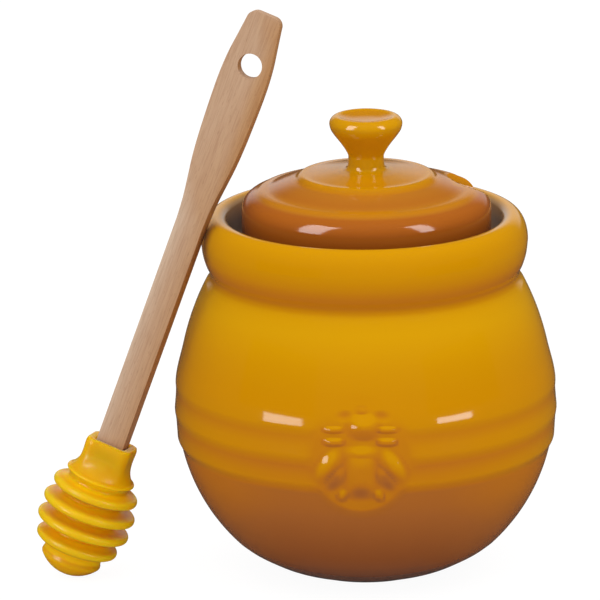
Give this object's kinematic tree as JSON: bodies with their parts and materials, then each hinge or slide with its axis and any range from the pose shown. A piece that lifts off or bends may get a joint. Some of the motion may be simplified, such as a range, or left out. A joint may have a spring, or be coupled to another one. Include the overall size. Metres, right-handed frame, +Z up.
{
  "type": "honey pot",
  "caption": "Round glazed stoneware honey jar with moulded bands and a bee, a lift-off knobbed lid with a dipper notch, and a beech dipper with a grooved silicone head leaning on its collar",
  "frame": {"origin": "on the jar's axis, in the plane that the foot ring stands on", "axes": "+Z up, -Y toward the front with the moulded bee, +X to the viewer's right; the dipper stands on the -X side and leans toward +X"},
  "size_m": [0.1549, 0.1157, 0.1729],
  "materials": {
    "jar_glaze": "gloss",
    "lid_glaze": "gloss",
    "silicone": "satin",
    "beech": "matte"
  },
  "bodies": {
    "jar": {"jar": "jar_glaze"},
    "lid": {"lid": "lid_glaze"},
    "dipper": {"dipper_head": "silicone", "dipper_handle": "beech"}
  },
  "joints": [
    {"name": "lid_lift", "type": "slide", "parent": "jar", "child": "lid", "axis": [0, 0, 1], "range_m": [0, 0.018]},
    {"name": "dipper_lift", "type": "slide", "parent": "jar", "child": "dipper", "axis": [-0.9397, 0, 0.342], "range_m": [0, 0.06]}
  ]
}
